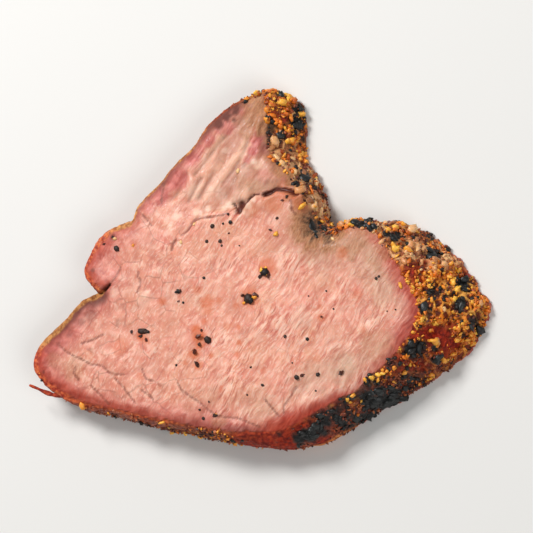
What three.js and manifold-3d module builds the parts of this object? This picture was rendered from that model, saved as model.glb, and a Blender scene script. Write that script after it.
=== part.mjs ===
// One slice of smoked beef tri-tip, lying flat on its lower cut face.
//
// A tri-tip is a flat, three-cornered muscle. Smoked whole under a coarse rub, it grows a dark crust,
// the bark, and is then cut across the grain with the knife held at a slant. So a slice has two flat cut
// faces, and its rim is the roast's own outside, which leans outwards on the right and is undercut on the
// left. The solid is made the same way: the roast's outside is extruded along the slanting cut, two knife
// cuts leave the slice, the seam between its two lobes is opened, and the largest grains of the rub are
// fused on.
//
// Millimetres, +Z up. The origin is on the resting face, near the middle of the slice. +X points to the
// thick, barked end, and +Y to the upper lobe.
import * as THREE from "three";
import { ImprovedNoise } from "three/addons/math/ImprovedNoise.js";
import { mergeVertices } from "three/addons/utils/BufferGeometryUtils.js";
import Module from "manifold-3d";

// Driving dimensions
const THICKNESS = 11; // between the two cuts, in the middle of the slice
const BIAS = { x: 7, y: -0.8 }; // how far the slanting cut moves the lower face's edge from the upper one's
const FLARE = 1.5; // how much further out the roast stands at the lower face, all round
const SHOULDER = { reach: 4.5, angle: -0.02, spread: 0.65 }; // the bulge at the barked end, in mm and radians
const TUCK = { reach: 7.4, angle: 0.95, spread: 0.6 }; // how the roast draws in below the notch
const CORNER = { reach: 3, angle: 1.45, spread: 0.16 }; // and at the top corner of the upper lobe
const TAPER = { from: -8, slope: 0.055 }; // the slice thins towards its left tip
const RIM_ROLL = { depth: 0.9, width: 2.6 }; // how the upper face falls away at its edge
const FACE_WAVES = { height: 0.55, length: 17 };
const FACE_RIPPLE = { height: 0.3, length: 5.5 };

// The upper cut face's edge, anticlockwise from the left tip
const FACE_EDGE = [
  [-48.2, -13.5], [-46.2, -17.5], [-42.1, -20.4], [-36.7, -22.9], [-29.2, -24.3], [-22.0, -26.1],
  [-14.5, -27.5], [-7.3, -29.0], [0, -30.1], [6.6, -29.8], [11.7, -28.7], [16.8, -25.8], [21.6, -22.9],
  [26.1, -21.1], [29.4, -17.9], [33.6, -14.7], [37.8, -10.4], [40.8, -5.1], [41.1, -0.8], [38.7, 3.3],
  [35.7, 8.2], [31.8, 13.8], [27.6, 16.4], [23.4, 16.7], [20.6, 15.4], [18.0, 16.7], [15.6, 20.7],
  [13.2, 24.8], [9.6, 28.9], [6.4, 33.0], [5.9, 37.6], [6.2, 42.0], [4.6, 46.2], [-3.5, 42.8],
  [-8.1, 39.1], [-11.2, 34.3], [-15.4, 30.3], [-19.6, 25.7], [-24.1, 21.0], [-25.6, 17.6], [-30.3, 15.8],
  [-34.1, 12.3], [-36.4, 7.4], [-34.8, 4.2], [-32.4, 1.8], [-37.2, -0.3], [-41.8, -4.9], [-46.3, -8.7],
];

// The seam between the upper lobe and the main muscle, from the notch in the rim to where it dies out in
// the face, and the short cleft that sets off the small lobe on the left
const SEAM = {
  path: [[19, 19.5], [13.8, 23.7], [5.6, 23.3], [-0.2, 19.6], [-8.2, 18.0], [-15.1, 11.7]],
  width: 1.2,
  depth: 2.6,
};
const CLEFT = {
  path: [[-35, 0.3], [-32.3, 2.0], [-31, 2.9], [-29.2, 4.8], [-27.6, 6.8]],
  width: 1,
  depth: 2.2,
};

// The upper lobe sinks behind the seam, the small lobe is a little lower than the rest, and the face is
// scooped away at the notch, where a seam of fat runs out
const LOBE_STEP = { drop: 1.5, fall: 0.07, fadeFrom: -15, fadeTo: -2 };
const SIDE_LOBE = { x: -32, y: 9.5, radius: 8, drop: 1.3 };
const NOTCH = { x: 20, y: 18.5, radius: 7.5, drop: 5 };

// A torn fibre at the left tip
const SHRED = { x: -46, y: -19.6, z: 7.4, length: 8, radius: 0.7, heading: 2.87 };

// The bark: how craggy the rim is, and where the rub is thick
const RIM_POINTS = 164;
const RIM_ROWS = 8;
const ROAST_MARGIN = 3; // the roast runs on past both cuts
const BULGE = 0.8; // how far the rim stands out half way up
const CRAG = { height: 1.25, length: 4.4 };
const GRIT = { height: 0.7, length: 1.9 };
const BARK = { middle: 0.12, half: 1.5, thin: 0.4 }; // radians, and how craggy the rest of the rim is

// Grains of the rub that are large enough to see from a step away
const GRAINS = { count: 120, least: 0.75, most: 1.4, sunk: 0.35, seed: 4107 };
const PEPPER_ON_FACE = [
  [2.4, 0.2, 1.7], [6.0, 6.0, 1.3], [-7.4, -8.8, 1.2], [-22.2, -6.8, 1.1], [-9.4, -14.4, 0.9],
  [-13.7, 1.8, 0.8], [13.3, -17.5, 1.1], [18.1, -16.9, 0.9], [23.3, -16.6, 0.8], [15.7, -9.1, 0.9],
  [10.6, -8.4, 0.8], [-6.0, 16.2, 0.8], [-28.5, 11.8, 0.9],
]; // x, y and radius

const wasm = await Module();
wasm.setup();
const perlin = new ImprovedNoise();
const { smoothstep, seededRandom } = THREE.MathUtils;

// Noise of one wavelength, from about -1 to 1
const noise = (x, y, z, length) => perlin.noise(x / length + 31.7, y / length + 12.3, z / length + 5.9) * 1.6;

// 1 at the angle middle, falling to 0 at half radians to either side
function nearAngle(x, y, middle, half) {
  const turn = Math.atan2(y, x) - middle;
  const away = Math.abs(Math.atan2(Math.sin(turn), Math.cos(turn)));
  return 1 - smoothstep(away, 0, half);
}

const curveThrough = (points, closed) =>
  new THREE.CatmullRomCurve3(points.map(([x, y]) => new THREE.Vector3(x, y, 0)), closed, "centripetal");
const rim = curveThrough(FACE_EDGE, true).getSpacedPoints(RIM_POINTS).slice(0, RIM_POINTS);
const seamLine = curveThrough(SEAM.path, false).getSpacedPoints(40);

const distanceTo = (points, x, y) => Math.min(...points.map((p) => Math.hypot(p.x - x, p.y - y)));

// Height of the seam line at x, so that the upper lobe is what lies above it
function seamHeight(x) {
  const nearest = seamLine.reduce((a, b) => (Math.abs(b.x - x) < Math.abs(a.x - x) ? b : a));
  return nearest.y;
}

// The upper cut face's height over the table
function faceHeight(x, y) {
  let z = THICKNESS + noise(x, y, 0, FACE_WAVES.length) * FACE_WAVES.height;
  z += noise(x, y, 9, FACE_RIPPLE.length) * FACE_RIPPLE.height;
  z -= Math.max(0, TAPER.from - x) * TAPER.slope;
  z -= RIM_ROLL.depth * (1 - smoothstep(distanceTo(rim, x, y), 0, RIM_ROLL.width));
  const beyond = y - seamHeight(x);
  if (beyond > 0) {
    z -= LOBE_STEP.drop * smoothstep(x, LOBE_STEP.fadeFrom, LOBE_STEP.fadeTo) * smoothstep(beyond, 0, 1.5);
    z -= LOBE_STEP.fall * beyond;
  }
  for (const hollow of [SIDE_LOBE, NOTCH]) {
    z -= hollow.drop * (1 - smoothstep(Math.hypot(x - hollow.x, y - hollow.y), 0, hollow.radius));
  }
  return z;
}

// Moves a point of the straight prism over the face's edge out to the slanting, craggy outside of the roast
function toBark(p) {
  const drop = (THICKNESS - p.z) / THICKNESS;
  const out = new THREE.Vector3(p.x, p.y, 0).normalize();
  const thick = Math.max(BARK.thin, nearAngle(p.x, p.y, BARK.middle, BARK.half));
  const shoulder = SHOULDER.reach * nearAngle(p.x, p.y, SHOULDER.angle, SHOULDER.spread);
  const tuck = TUCK.reach * nearAngle(p.x, p.y, TUCK.angle, TUCK.spread);
  const swell = FLARE + shoulder - tuck - CORNER.reach * nearAngle(p.x, p.y, CORNER.angle, CORNER.spread);
  const bulge = BULGE * Math.sin(Math.PI * THREE.MathUtils.clamp(drop, 0, 1));
  const crags = noise(p.x, p.y, p.z, CRAG.length) * CRAG.height;
  const relief = crags + noise(p.x, p.y, p.z, GRIT.length) * GRIT.height;
  return p
    .clone()
    .addScaledVector(out, swell * drop + bulge + relief * thick)
    .add(new THREE.Vector3(BIAS.x * drop, BIAS.y * drop, 0));
}

// A three.js geometry as a solid for joining and cutting
function solid(geometry) {
  const bare = geometry.clone();
  bare.deleteAttribute("normal");
  bare.deleteAttribute("uv");
  const merged = mergeVertices(bare, 1e-4);
  return new wasm.Manifold(
    new wasm.Mesh({
      numProp: 3,
      vertProperties: merged.attributes.position.array,
      triVerts: new Uint32Array(merged.index.array),
    }),
  );
}

function reshape(geometry, move) {
  const position = geometry.attributes.position;
  const p = new THREE.Vector3();
  for (let i = 0; i < position.count; i++) {
    p.copy(move(p.fromBufferAttribute(position, i)));
    position.setXYZ(i, p.x, p.y, p.z);
  }
  return geometry;
}

// The roast's outside, along the slanting cut and a little past both faces
function roast() {
  const depth = THICKNESS + 2 * ROAST_MARGIN;
  const along = { depth, steps: RIM_ROWS, bevelEnabled: false };
  const geometry = new THREE.ExtrudeGeometry(new THREE.Shape(rim), along);
  return solid(reshape(geometry.translate(0, 0, -ROAST_MARGIN), toBark));
}

// What the two knife cuts leave between them: flat below, softly uneven above
function knifeCuts() {
  const size = { x: 118, y: 92, cell: 2 };
  const middle = { x: 2, y: 7 };
  const geometry = new THREE.BoxGeometry(
    size.x, size.y, 2 * THICKNESS, Math.round(size.x / size.cell), Math.round(size.y / size.cell), 1,
  );
  geometry.translate(middle.x, middle.y, 0);
  const cut = reshape(geometry, (p) => (p.z > 0 ? p.setZ(faceHeight(p.x, p.y)) : p));
  const below = new THREE.BoxGeometry(size.x * 2, size.y * 2, 2 * THICKNESS).translate(0, 0, -THICKNESS);
  return solid(cut).subtract(solid(below));
}

// A crack in the upper face: a sliver of the given width, widest in its first half, down to its depth
function crack({ path, width, depth }) {
  const curve = curveThrough(path, false);
  const steps = 16;
  const sides = [[], []];
  for (let i = 0; i <= steps; i++) {
    const t = i / steps;
    const at = curve.getPointAt(t);
    const along = curve.getTangentAt(t);
    const half = 0.5 * width * Math.sqrt(Math.max(0.02, 1 - t)) * (1 + 0.35 * noise(at.x, at.y, 3, 3));
    sides[0].push(new THREE.Vector2(at.x - along.y * half, at.y + along.x * half));
    sides[1].unshift(new THREE.Vector2(at.x + along.y * half, at.y - along.x * half));
  }
  const tall = { depth: depth + 2 * ROAST_MARGIN, bevelEnabled: false };
  const geometry = new THREE.ExtrudeGeometry(new THREE.Shape(sides.flat()), tall);
  return solid(geometry.translate(0, 0, THICKNESS - depth));
}

// One grain of the rub: a rough little stone, flattened and turned at random
function grain(at, radius, random) {
  const shape = new THREE.IcosahedronGeometry(radius, 0);
  shape.scale(1, 0.65 + 0.35 * random(), 0.55 + 0.35 * random());
  const turn = new THREE.Euler(random() * Math.PI, random() * Math.PI, random() * Math.PI);
  shape.applyMatrix4(new THREE.Matrix4().makeRotationFromEuler(turn));
  return solid(shape.translate(at.x, at.y, at.z));
}

// The grains on the bark, thickest where the rub is, and the few that the knife dragged over the face
function rubGrains() {
  seededRandom(GRAINS.seed);
  const random = () => seededRandom();
  const grains = [];
  while (grains.length < GRAINS.count) {
    const edge = rim[Math.floor(random() * RIM_POINTS)];
    const radius = GRAINS.least + (GRAINS.most - GRAINS.least) * random() ** 2;
    const height = radius + random() * (faceHeight(edge.x, edge.y) - radius);
    if (random() > 0.06 + nearAngle(edge.x, edge.y, BARK.middle, BARK.half)) continue;
    const at = toBark(new THREE.Vector3(edge.x, edge.y, height));
    at.addScaledVector(new THREE.Vector3(edge.x, edge.y, 0).normalize(), -radius * GRAINS.sunk);
    grains.push(grain(at, radius, random));
  }
  for (const [x, y, radius] of PEPPER_ON_FACE) {
    grains.push(grain(new THREE.Vector3(x, y, faceHeight(x, y) - radius * GRAINS.sunk), radius, random));
  }
  return grains;
}

// The torn fibre that sticks out at the left tip
function shred() {
  const cone = new THREE.ConeGeometry(SHRED.radius, SHRED.length, 7, 3).rotateZ(SHRED.heading - Math.PI / 2);
  return solid(cone.translate(SHRED.x, SHRED.y, SHRED.z));
}

// The largest closed body of a solid, without loose scraps and sealed hollows
const mainBody = (made) => made.decompose().reduce((a, b) => (b.volume() > a.volume() ? b : a));

function slice() {
  let made = roast().intersect(knifeCuts());
  made = made.subtract(crack(SEAM)).subtract(crack(CLEFT));
  for (const one of [shred(), ...rubGrains()]) made = made.add(one);
  const { vertProperties, triVerts } = mainBody(made).getMesh();
  const geometry = new THREE.BufferGeometry()
    .setAttribute("position", new THREE.BufferAttribute(vertProperties, 3))
    .setIndex(new THREE.BufferAttribute(triVerts, 1));
  geometry.computeVertexNormals();
  const material = new THREE.MeshStandardMaterial({ color: 0xe6a08a, roughness: 0.5, flatShading: true });
  const mesh = new THREE.Mesh(geometry, material);
  mesh.name = "tri_tip_slice";
  return mesh;
}

const part = new THREE.Group();
part.name = "smoked_tri_tip_slice";
part.add(slice());

export default part;
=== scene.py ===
import math

import bmesh
import bpy
import numpy as np
from mathutils import Euler, Matrix, Vector, geometry, noise


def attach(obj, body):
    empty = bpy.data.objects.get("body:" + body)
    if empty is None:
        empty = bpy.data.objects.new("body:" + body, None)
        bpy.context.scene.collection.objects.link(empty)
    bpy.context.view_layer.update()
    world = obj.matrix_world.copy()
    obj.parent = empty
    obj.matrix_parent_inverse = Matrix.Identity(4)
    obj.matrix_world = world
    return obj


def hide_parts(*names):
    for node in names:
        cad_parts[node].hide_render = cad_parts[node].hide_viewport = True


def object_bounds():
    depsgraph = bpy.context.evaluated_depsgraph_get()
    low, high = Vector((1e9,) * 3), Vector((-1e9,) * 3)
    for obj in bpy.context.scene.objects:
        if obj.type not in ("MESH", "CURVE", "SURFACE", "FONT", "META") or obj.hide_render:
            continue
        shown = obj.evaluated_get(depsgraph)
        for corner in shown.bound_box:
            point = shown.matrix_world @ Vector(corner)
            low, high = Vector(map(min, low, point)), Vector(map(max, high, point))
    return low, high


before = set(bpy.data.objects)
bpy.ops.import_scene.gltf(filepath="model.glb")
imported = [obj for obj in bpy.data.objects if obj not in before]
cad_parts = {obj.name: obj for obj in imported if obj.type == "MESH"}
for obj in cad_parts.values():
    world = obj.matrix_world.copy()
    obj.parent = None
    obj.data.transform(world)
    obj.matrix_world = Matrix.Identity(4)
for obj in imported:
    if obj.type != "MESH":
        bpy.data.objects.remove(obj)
cad_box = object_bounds()

# The slice of meat
# A flat, three-cornered muscle of beef, smoked whole to medium rare and cut across the grain with a slanted
# knife. Both flat faces are cut muscle, and the rim is the roast's own outside, crusted with baked-on rub.
MM = 0.001  # the slice is modelled in millimetres and turned to metres at the end
THICKNESS = 11.0
BIAS = Vector((7.0, -0.8))  # how far the slanting cut moves the lower face's edge from the upper one's
FLARE = 1.5  # how much further out the roast stands at the lower face, all round
SHOULDER_REACH, SHOULDER_ANGLE, SHOULDER_SPREAD = 4.5, -0.02, 0.65  # the bulge at the barked end
TUCK_DEPTH, TUCK_ANGLE, TUCK_SPREAD = 7.4, 0.95, 0.6  # how the roast draws in below the notch
CORNER_DEPTH, CORNER_ANGLE, CORNER_SPREAD = 3.0, 1.45, 0.16  # and at the top corner of the upper lobe
BULGE = 0.8  # how far the rim stands out half way up
TAPER_FROM, TAPER_SLOPE = -8.0, 0.055  # the slice thins towards its left tip
ROLL_DEPTH, ROLL_WIDTH = 0.9, 2.6  # how the upper face falls away at its edge
VOXEL = 0.375  # the finest relief that the mesh holds

# The upper cut face's edge, anticlockwise from the left tip
FACE_EDGE = [
    (-48.2, -13.5), (-46.2, -17.5), (-42.1, -20.4), (-36.7, -22.9), (-29.2, -24.3), (-22, -26.1),
    (-14.5, -27.5), (-7.3, -29), (0, -30.1), (6.6, -29.8), (11.7, -28.7), (16.8, -25.8), (21.6, -22.9),
    (26.1, -21.1), (29.4, -17.9), (33.6, -14.7), (37.8, -10.4), (40.8, -5.1), (41.1, -0.8), (38.7, 3.3),
    (35.7, 8.2), (31.8, 13.8), (27.6, 16.4), (23.4, 16.7), (20.6, 15.4), (18, 16.7), (15.6, 20.7),
    (13.2, 24.8), (9.6, 28.9), (6.4, 33), (5.9, 37.6), (6.2, 42), (4.6, 46.2), (-3.5, 42.8), (-8.1, 39.1),
    (-11.2, 34.3), (-15.4, 30.3), (-19.6, 25.7), (-24.1, 21), (-25.6, 17.6), (-30.3, 15.8), (-34.1, 12.3),
    (-36.4, 7.4), (-34.8, 4.2), (-32.4, 1.8), (-37.2, -0.3), (-41.8, -4.9), (-46.3, -8.7),
]
# The seam between the upper lobe and the main muscle, and where the meat gapes: along the seam, in a pit in
# its middle, and in the cleft behind the small left lobe
SEAM = [(19, 19.5), (13.8, 23.7), (5.6, 23.3), (-0.2, 19.6), (-8.2, 18), (-15.1, 11.7)]
GAPS = [
    ([(12.8, 23.2), (10.8, 24), (8.6, 24.2), (7.3, 23.5), (5.9, 23.1)], 0.9, 1.9),
    ([(-1.4, 21.2), (-0.6, 20), (0.1, 19.1), (1, 20.2), (2.1, 22), (3.2, 22.9), (4.8, 23.2)],
     0.42, 0.9),
    ([(0.1, 19.5), (0.3, 20.3), (0.5, 21)], 1.1, 1.1),
    ([(-34, 0.8), (-32.3, 2), (-31, 2.9), (-30.2, 3.7)], 0.6, 1.4),
]  # the path, half the width and the depth
# The creases where the fibres have parted or folded under the knife, grooved and darkened with painted shade
CREASES = [
    [(-41.7, -9.6), (-39.8, -11.2), (-36, -13), (-34.6, -13.8), (-31.8, -14.3), (-29.6, -16),
     (-26.6, -16.2)],
    [(-38, -14.4), (-38.3, -15.8), (-37.3, -17.2)],
    [(-34.4, -18.6), (-32.5, -20.3), (-31.2, -21.8), (-30.4, -22.8)],
    [(-28.6, -17.2), (-27, -18.7), (-25.7, -20.4), (-24, -22.6)],
    [(-22.3, -15.2), (-21.4, -17.2), (-19.6, -17.8)],
    [(-22.4, -19.8), (-21, -20.8), (-19.8, -21.8)],
    [(-36.6, -9.2), (-34, -8.4), (-31.5, -7.3)],
    [(-14, -18.4), (-12.5, -20.3), (-8.5, -23), (-5.3, -25.4), (-2.5, -26.1), (0, -26.4), (4.6, -28.2)],
    [(6, -22.3), (7.5, -24), (9.3, -26)],
    [(13.2, -19.6), (11.8, -21.8), (10.5, -23.7), (10.3, -25.2)],
    [(-23.2, 6.4), (-23.4, 5.5), (-22.8, 4.6), (-22.9, 3.2), (-23.5, 1.9)],
    [(-22.7, 19.4), (-21.3, 18), (-20.4, 16.8)],
    [(-17.6, 26.6), (-17.9, 24.4), (-18.2, 21.8)],
    [(12, 21.6), (12.2, 19.6), (13.1, 18.6)],
    [(-30.2, 3.7), (-29.2, 4.8), (-28.2, 6.2), (-27.6, 7.6)],
    [(-2.4, 19), (-4.4, 18.6), (-6.5, 18.3)],
]
# The open parts of the seam, which are grooved and painted with a dark line of shade
SEAM_LINES = [
    [(-6.4, 18.3), (-8.4, 18.2), (-10, 17.8), (-10.9, 16.8), (-11.6, 15.6)],
    [(-11.6, 15.6), (-12.6, 14.8), (-13.2, 14.4)], [(-14.5, 13.5), (-15.2, 12.4), (-15.4, 11.2)],
]
# The wider valleys between the bundles of the upper lobe, carved and darkened with painted shade
VALLEYS = [
    [(3, 41), (2.4, 37.6), (1.2, 34.6), (0.1, 32.2), (-0.9, 30.2), (-2.2, 28.2), (-4, 26)],
    [(1.5, 41.4), (-1, 38.9), (-3.8, 36.4), (-6, 33.6), (-8, 30.8), (-10.4, 28)],
    [(4.8, 38.6), (3.4, 35.2), (1.8, 31.8), (0.6, 29.2)],
    [(5.4, 34), (4.5, 31.6), (4.1, 30)],
    [(-6, 28.6), (-7.8, 25.4), (-9.4, 22.6)],
    [(-9, 27), (-10.6, 24.2), (-11.8, 22)],
    [(-12.4, 27.8), (-14.2, 24.4), (-16.2, 22.2)],
    [(2.2, 29), (3.5, 28.3), (3.6, 26.6), (2.7, 24.9)],
    [(-1, 27.2), (-2.2, 24.8), (-3.2, 22.8)],
]
# Threads of melted sugar and fat that stand proud on the bark, painted bright along them, partly as a
# painted highlight on a lit edge
RIDGES = [
    [(42.2, 3.6), (43.1, 4.8), (45, 6.1), (47.1, 7.3), (48.6, 7.6)],
    [(47.2, 12.4), (48.6, 11), (50.3, 8.9), (51.7, 5.5), (53, 2.6)],
    [(41.4, 9.6), (42.2, 8.2), (42, 6.6), (42.8, 5.2)],
    [(44, 9.6), (45.2, 8.2), (46.6, 7.4)],
]
CREASE_WIDTH, CREASE_DEPTH = 0.5, 0.12
SEAM_WIDTH, SEAM_DEPTH = 0.38, 0.4
# The dark line along a valley is painted shade
VALLEY_WIDTH, VALLEY_DEPTH, VALLEY_SHADE = 0.7, 0.4, 0.45  # the last is the width of the dark line in it
RIDGE_WIDTH, RIDGE_HEIGHT = 0.6, 0.6
LOBE_DROP, LOBE_FALL, LOBE_FADE = 1.5, 0.07, (-15.0, -2.0)  # the upper lobe sinks behind the seam
SIDE_LOBE = (-32.0, 9.5, 8.0, 1.3)  # x, y, radius and depth of a hollow
NOTCH = (20.0, 18.5, 7.5, 5.0)  # the face is scooped away where a seam of fat runs out
GRAIN_ANGLE = math.radians(57)  # the way the fibres' ends are drawn out across the face


def smooth_line(points, closed, step):
    """Points about every step along a smooth curve through the given ones."""
    count = len(points)
    line = []
    for i in range(count if closed else count - 1):
        near = [(i + k) % count if closed else min(max(i + k, 0), count - 1) for k in (-1, 0, 1, 2)]
        before, a, b, after = (Vector(points[n]) for n in near)
        parts = max(2, round((b - a).length / step))
        line += geometry.interpolate_bezier(a, a + (b - before) / 6, b - (after - a) / 6, b, parts + 1)[:-1]
    return line if closed else line + [Vector(points[-1])]


def smooth(t):
    """0 below 0, 1 above 1, and an even rise between."""
    t = np.clip(t, 0, 1)
    return t * t * (3 - 2 * t)


def beside(distance, width):
    """1 on a line, falling to about a third at its width and to nothing beyond."""
    return np.exp(-((distance / width) ** 2))


def near_angle(x, y, middle, half):
    """1 in the direction middle from the origin, falling to 0 at half radians to either side."""
    away = np.abs((np.arctan2(y, x) - middle + math.pi) % (2 * math.pi) - math.pi)
    return 1 - smooth(away / half)


def swell(x, y):
    """How much further out the roast's outside is at the lower face."""
    shoulder = SHOULDER_REACH * near_angle(x, y, SHOULDER_ANGLE, SHOULDER_SPREAD)
    tuck = TUCK_DEPTH * near_angle(x, y, TUCK_ANGLE, TUCK_SPREAD)
    return FLARE + shoulder - tuck - CORNER_DEPTH * near_angle(x, y, CORNER_ANGLE, CORNER_SPREAD)


def placed(name, data):
    """An object in the scene, at the origin."""
    made = bpy.data.objects.new(name, data)
    bpy.context.scene.collection.objects.link(made)
    return made


def object_from(bm, name):
    mesh = bpy.data.meshes.new(name)
    bm.to_mesh(mesh)
    bm.free()
    return placed(name, mesh)


rim_line = smooth_line(FACE_EDGE, True, 0.5)
bm = bmesh.new()
ring = bmesh.ops.create_circle(bm, segments=len(rim_line), radius=1, cap_ends=True)["verts"]
for vert, at in zip(ring, rim_line):
    vert.co = (at.x, at.y, THICKNESS)
lower = bmesh.ops.extrude_face_region(bm, geom=bm.faces[:])["geom"]
for vert in (part for part in lower if isinstance(part, bmesh.types.BMVert)):
    at = vert.co.xy
    vert.co = (at + at.normalized() * float(swell(at.x, at.y)) + BIAS).to_3d()
bmesh.ops.recalc_face_normals(bm, faces=bm.faces)
meat = object_from(bm, "tri_tip_meat")
even = meat.modifiers.new("even mesh", "REMESH")
even.mode, even.voxel_size = "VOXEL", VOXEL
meat.data = bpy.data.meshes.new_from_object(meat.evaluated_get(bpy.context.evaluated_depsgraph_get()))
meat.modifiers.clear()


def read(mesh_part, what, width):
    values = np.zeros(len(mesh_part) * width)
    mesh_part.foreach_get(what, values)
    return values.reshape(-1, width)


def noise_at(points, size, seed=0):
    """Noise of one wavelength at each point, from about -1 to 1."""
    return np.array([noise.noise(Vector(p)) for p in points / np.array(size, float) + seed * 7.31])


def cells_at(points, size, seed=0):
    """How far each point is from the middle of its cell, and from the border to the next one."""
    near = np.array([noise.voronoi(Vector(p))[0][:2] for p in points / size + seed * 7.31])
    return near[:, 0], near[:, 1] - near[:, 0]


spot = read(meat.data.vertices, "co", 3)
drop = np.clip((THICKNESS - spot[:, 2]) / THICKNESS, 0, 1)
on_top = 1 - smooth(drop / 0.1)
upper_edge = np.array(rim_line)
outward = upper_edge / np.linalg.norm(upper_edge, axis=1)[:, None]
lower_edge = upper_edge + outward * swell(*upper_edge.T)[:, None] + np.array(BIAS)


def edge_distance(points, depth):
    """How far each point is from the rim at its own depth, and the nearest place on the upper edge."""
    away, place = [], []
    for part in np.array_split(np.arange(len(points)), max(1, len(points) // 2000)):
        edge = upper_edge + (lower_edge - upper_edge) * depth[part][:, None, None]
        gap = np.linalg.norm(edge - points[part][:, None, :2], axis=2)
        away.append(gap.min(axis=1))
        place.append(gap.argmin(axis=1))
    return np.concatenate(away), upper_edge[np.concatenate(place)]


def distance_to(lines, points):
    """How far each point is in plan from the nearest of some smooth lines."""
    dots = np.array([dot for line in lines for dot in smooth_line(line, False, 0.25)])
    parts = np.array_split(points[:, :2], max(1, len(points) // 2000))
    return np.concatenate([np.linalg.norm(dots - part[:, None], axis=2).min(axis=1) for part in parts])


rim, rim_place = edge_distance(spot, drop)
on_wall = (rim < 0.7) & (drop > 0.02)
plan = np.where(on_wall[:, None], rim_place, spot[:, :2])  # where on the upper face a point belongs
x, y = plan.T
seam_line = np.array(smooth_line(SEAM, False, 0.8))
seam_y = seam_line[np.abs(seam_line[:, 0] - x[:, None]).argmin(axis=1), 1]
flat_plan = np.column_stack([plan, np.zeros(len(plan))])


def hollow(x0, y0, radius, depth):
    return depth * (1 - smooth(np.hypot(x - x0, y - y0) / radius))


height = THICKNESS + 0.6 * noise_at(flat_plan, 17) + 0.3 * noise_at(flat_plan, 5.5, 9)
height -= np.maximum(0, TAPER_FROM - x) * TAPER_SLOPE
height -= ROLL_DEPTH * (1 - smooth(np.where(on_wall, 0, rim) / ROLL_WIDTH))
beyond = np.maximum(0, y - seam_y)
in_lobe = smooth((x - LOBE_FADE[0]) / (LOBE_FADE[1] - LOBE_FADE[0])) * smooth(beyond / 1.5)
height -= LOBE_DROP * in_lobe + LOBE_FALL * beyond + hollow(*SIDE_LOBE) + hollow(*NOTCH)
spot[:, 2] *= height / THICKNESS

# Relief: the cut bundles of fibres swell between thin folds, drawn out along the grain, shorter on the left
# and longest on the lobe. Creases, seam and valleys are grooves. The bark is craggy where the rub is thick.
SHORT_FOLDS = ((8, 3.6, 8), 1, 0.35), ((3.4, 1.5, 3.4), 2, 0.4)  # each fold's size, seed and width
LONG_FOLDS = ((11, 3.4, 11), 4, 0.35), ((5, 2.0, 5), 5, 0.45)
LOBE_FOLDS = ((24, 5, 24), 30, 0.35)
PEBBLE = 2.3  # the size of the lumps of rub in the bark


def folds(size, seed, width):
    """1 over the swelling bundles, and 0 in the thin folds between them."""
    return smooth(np.abs(noise_at(turned, size, seed)) / width)


thick_bark = np.maximum(0.4, near_angle(x, y, 0.12, 1.5))
warped = spot + 1.3 * np.column_stack([noise_at(spot, 6, seed) for seed in (3, 13, 23)])
turned = np.column_stack([
    warped[:, 0] * math.cos(GRAIN_ANGLE) + warped[:, 1] * math.sin(GRAIN_ANGLE),
    warped[:, 1] * math.cos(GRAIN_ANGLE) - warped[:, 0] * math.sin(GRAIN_ANGLE),
    warped[:, 2],
])
left_folds = 0.6 * folds(*SHORT_FOLDS[0]) + 0.4 * folds(*SHORT_FOLDS[1])
right_folds = 0.5 * folds(*LONG_FOLDS[0]) + 0.5 * folds(*LONG_FOLDS[1])
to_right = smooth((x + 22) / 24)
bundles = left_folds + (right_folds - left_folds) * to_right
bundles += (0.8 * folds(*LOBE_FOLDS) + 0.2 * right_folds - bundles) * in_lobe
crease = distance_to(CREASES, spot)
seam = beside(distance_to(SEAM_LINES, spot), SEAM_WIDTH) * on_top
valley = distance_to(VALLEYS, spot)
broken = np.clip(0.75 + 0.9 * noise_at(spot, 3.2, 33), 0.25, 1)  # how a line on the face comes and goes
face_relief = (0.16 - 0.08 * to_right + 0.45 * in_lobe) * (bundles - 0.7) + 0.1 * noise_at(spot, 1.8, 5)
face_relief -= CREASE_DEPTH * beside(crease, CREASE_WIDTH)
face_relief -= broken * (VALLEY_DEPTH * beside(valley, VALLEY_WIDTH) + SEAM_DEPTH * seam)
gape, gaping = np.zeros(len(spot)), np.zeros(len(spot))
for path, half, depth in GAPS:
    within = 1 - smooth(distance_to([path], spot) / (half * (1.2 + 0.4 * noise_at(spot, 1.8, 31))))
    gape = np.maximum(gape, depth * within)
    gaping = np.maximum(gaping, within)
to_middle, to_border = cells_at(spot + 0.35 * (warped - spot), PEBBLE, 5)
ridge = distance_to(RIDGES, spot)
bark_relief = 1.2 * noise_at(spot, 4.4, 6) + 0.6 * (0.5 - to_middle) + 0.45 * noise_at(spot, 1.5, 7)
bark_relief += 0.5 * (1 - smooth(to_border / 0.3)) + RIDGE_HEIGHT * beside(ridge, RIDGE_WIDTH)
bark_relief *= thick_bark
web = np.minimum(to_border, ridge / 3)
wall = smooth((0.9 - rim) / 0.6) * smooth(drop / 0.08)
bulge = (BULGE + 0.9 * near_angle(x, y, -1.25, 0.6)) * np.sin(math.pi * drop)
bulge += 0.6 * near_angle(x, y, 3.0, 0.8)
meat.data.vertices.foreach_set("co", spot.ravel())
meat.data.update()
facing = read(meat.data.vertices, "normal", 3)
on_rest = smooth((0.6 - spot[:, 2]) / 0.6)
move = wall * (bark_relief + bulge) + (1 - wall) * face_relief * (1 - 0.75 * on_rest)
spot += facing * move[:, None]
spot[:, 2] -= gape * on_top
spot[:, 2] = np.maximum(spot[:, 2], 0)
meat.data.vertices.foreach_set("co", (spot * MM).ravel())
meat.data.polygons.foreach_set("use_smooth", np.ones(len(meat.data.polygons), bool))
meat.data.update()

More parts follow.
